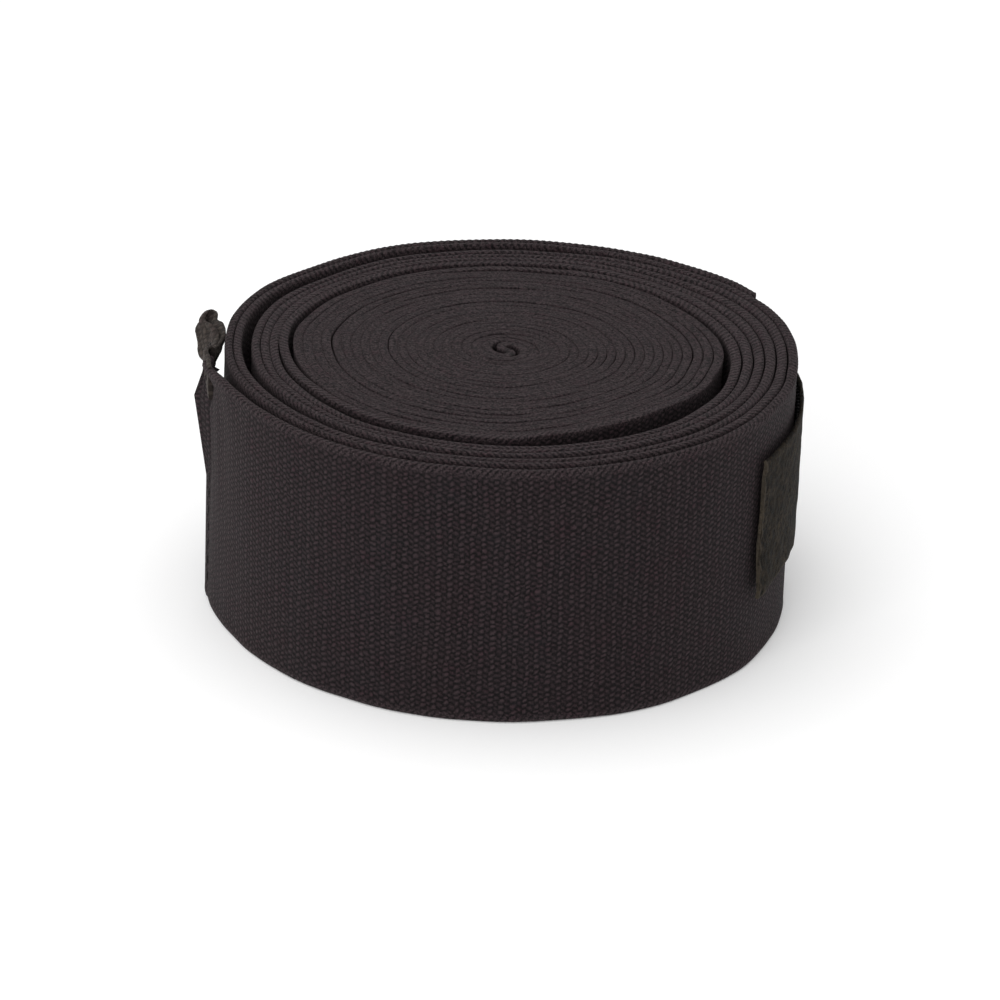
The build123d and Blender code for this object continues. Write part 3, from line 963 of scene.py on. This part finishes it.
def loop_lean(x, z):
    """The loop is twisted: its upper edge leans in towards the roll, and its tip turns outward."""
    height = (z - LOOP_BOTTOM) / (LOOP_TOP - LOOP_BOTTOM)
    return (1.3 * smooth(9, 17, x) - LOOP_TWIST * height - 0.5) * smooth(1, 9, x)


def loop_place(spot):
    """The roll's x and y for a point in the loop's own frame."""
    return LOOP_ROOT + LOOP_AXIS * spot.x + LOOP_SIDE * spot.y


def waisted(x):
    """1 at the loop's gathered waist, and 0 away from it."""
    return math.exp(-((x - WAIST_AT) / WAIST_SPREAD) ** 2)


def loop_crease(x, run, z, share):
    """How far the crumpled tape stands off its middle line. share is how far up the tape the point is."""
    crease = 0.26 * math.sin(share * 9.5 + x * 0.33) + 0.2 * math.sin(share * 17 - x * 0.7)
    crease += 0.5 * noise.noise(Vector((run / 2.6, z / 1.7, 12.0)))
    crease *= smooth(-6, 3, x) * (1 - 0.4 * waisted(x)) + 0.25
    return crease * 0.62


def loop_ring(p, normal, run):
    """One cross-section of the tape at the point p of its middle line, a length run from its start."""
    knob = smooth(11.0, 16.0, p.x)
    low = LOOP_BOTTOM + 0.9 * waisted(p.x) + 3.3 * knob
    high = LOOP_TOP - 1.3 * waisted(p.x) + 0.5 * knob * math.sin(run * 0.8)
    sag = -0.2 * smooth(3, 18, p.x)
    ring = []
    for out, z in band_section(-LOOP_WALL * 0.46, LOOP_WALL * 0.46, low, high, 14, 0.35):
        share = (z - low) / (high - low)
        spot = Vector((p.x, p.y)) + normal * (out + loop_crease(p.x, run, z, share))
        spot.y += loop_lean(p.x, z)
        place = loop_place(spot)
        frayed = 0.25 * noise.noise(Vector((run / 3, 5, z / 9)))
        ring.append((settle(place.x, place.y, z + sag + frayed), (run, z - STRIP_WIDTH / 2, out)))
    return ring


def loop_tape():
    """The gathered tape: narrow at its waist, crumpled, and lifted at its tip."""
    line = resample(loop_path(), 0.42)
    rings, run = [], 0.0
    for i, p in enumerate(line):
        before, after = line[max(i - 1, 0)], line[min(i + 1, len(line) - 1)]
        heading = (after - before).normalized()
        if i:
            run += (p - line[i - 1]).length
        rings.append(loop_ring(p, Vector((-heading.y, heading.x)), run))
    return ribbon("thumb_loop_band", rings, LOOP_CLOTH)


loop = loop_tape()
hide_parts("thumb_loop_sewn_end", "thumb_loop_tape")
hinge(LAST_B, THUMB_CUTS[2])
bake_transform(loop)


def bartack():
    """Three tight upright stitches that close the loop behind the thumb hole."""
    points, faces, coords = [], [], []
    for number, x in enumerate(TACK_PLACES):
        faces += tube_faces(len(points), TACK_RINGS, TACK_SIDES)
        for i in range(TACK_RINGS):
            t = i / (TACK_RINGS - 1) * 2 - 1
            z = (LOOP_BOTTOM + LOOP_TOP) / 2 + TACK_HALF_HEIGHT * t
            thick = TACK_RADIUS * (0.6 + 0.4 * math.sqrt(max(0.0, 1 - t * t)))
            for k in range(TACK_SIDES):
                turn = 2 * math.pi * k / TACK_SIDES
                out = TACK_OUT + loop_lean(x, z) + thick * math.sin(turn)
                place = loop_place(Vector((x + thick * math.cos(turn), out)))
                points.append(settle(place.x, place.y, z - 0.2))
                coords.append((t * 3, number + math.cos(turn), 0.0))
    return finish_mesh("thumb_loop_tack", points, faces, coords, THREAD)


tack = bartack()
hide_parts("thumb_loop_bartack")
hinge(LAST_B, THUMB_CUTS[2])
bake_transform(tack)


# ---- Floor, light, camera ----
FLOOR_HALF = 4
FLOOR_SHADE = (0.93, 0.93, 0.93, 1)
FLOOR_GLOW = 0.1
SKY_STRENGTH = 0.7
WHITE = (1, 1, 1, 1)
LIGHT_TARGET = (0, 0, 0.03)
# the camera: degrees, then millimetres from the middle of the rim, then its lens in millimetres
CAMERA_TILT, CAMERA_ROLL = 25.4, -1.7
CAMERA_DISTANCE, CAMERA_LEFT, CAMERA_UP = 1010.0, 1.25, 17.2
RIM_CENTRE = (1.1, -1.9, 0)
CAMERA_LENS = 192.3


def floor():
    """The pale, slightly glowing floor."""
    mesh = bpy.data.meshes.new("floor")
    corners = [(-FLOOR_HALF, -FLOOR_HALF, 0), (FLOOR_HALF, -FLOOR_HALF, 0), (FLOOR_HALF, FLOOR_HALF, 0),
               (-FLOOR_HALF, FLOOR_HALF, 0)]
    mesh.from_pydata(corners, [], [(0, 1, 2, 3)])
    material = bpy.data.materials.new("floor_white")
    material.use_nodes = True
    shader = material.node_tree.nodes["Principled BSDF"]
    shader.inputs["Base Color"].default_value = FLOOR_SHADE
    shader.inputs["Roughness"].default_value = 0.9
    shader.inputs["Specular IOR Level"].default_value = 0.1
    shader.inputs["Emission Color"].default_value = WHITE
    shader.inputs["Emission Strength"].default_value = FLOOR_GLOW
    mesh.materials.append(material)
    plane = bpy.data.objects.new("floor", mesh)
    bpy.context.scene.collection.objects.link(plane)


def area_light(name, place, size, watts):
    """A soft light that faces the roll. Places and sizes are in metres."""
    data = bpy.data.lights.new(name, "AREA")
    data.shape = "RECTANGLE"
    data.size, data.size_y = size
    data.energy = watts
    lamp = bpy.data.objects.new(name, data)
    lamp.location = place
    lamp.rotation_euler = (Vector(LIGHT_TARGET) - Vector(place)).to_track_quat("-Z", "Y").to_euler()
    bpy.context.scene.collection.objects.link(lamp)


def camera():
    tilt, roll = math.radians(CAMERA_TILT), math.radians(CAMERA_ROLL)
    right = Vector((1, 0, 0))
    up = Vector((0, math.sin(tilt), math.cos(tilt)))
    back = Vector((0, -math.cos(tilt), math.sin(tilt)))
    place = Vector(RIM_CENTRE) + back * CAMERA_DISTANCE - right * CAMERA_LEFT + up * CAMERA_UP
    across = right * math.cos(roll) - up * math.sin(roll)
    upward = right * math.sin(roll) + up * math.cos(roll)
    data = bpy.data.cameras.new("camera")
    data.lens, data.sensor_width, data.sensor_fit = CAMERA_LENS, 36.0, "HORIZONTAL"
    data.clip_start, data.clip_end = 0.05, 20.0
    eye = bpy.data.objects.new("camera", data)
    rows = [(across[i], upward[i], back[i]) for i in range(3)]
    turn = [list(r) + [place[i] * MM] for i, r in enumerate(rows)] + [[0, 0, 0, 1]]
    eye.matrix_world = Matrix(turn)
    bpy.context.scene.collection.objects.link(eye)
    bpy.context.scene.camera = eye


def sky():
    """Even white light from all round."""
    world = bpy.data.worlds.new("studio")
    world.use_nodes = True
    background = world.node_tree.nodes["Background"]
    background.inputs["Color"].default_value = WHITE
    background.inputs["Strength"].default_value = SKY_STRENGTH
    bpy.context.scene.world = world


floor()
area_light("top_softbox", (-0.16, 0.05, 0.9), (1.1, 1.1), 3.9)
area_light("front_left_softbox", (-0.36, -0.9, 0.5), (0.7, 0.6), 4.0)
camera()
sky()
bpy.context.scene.view_settings.view_transform = "Standard"
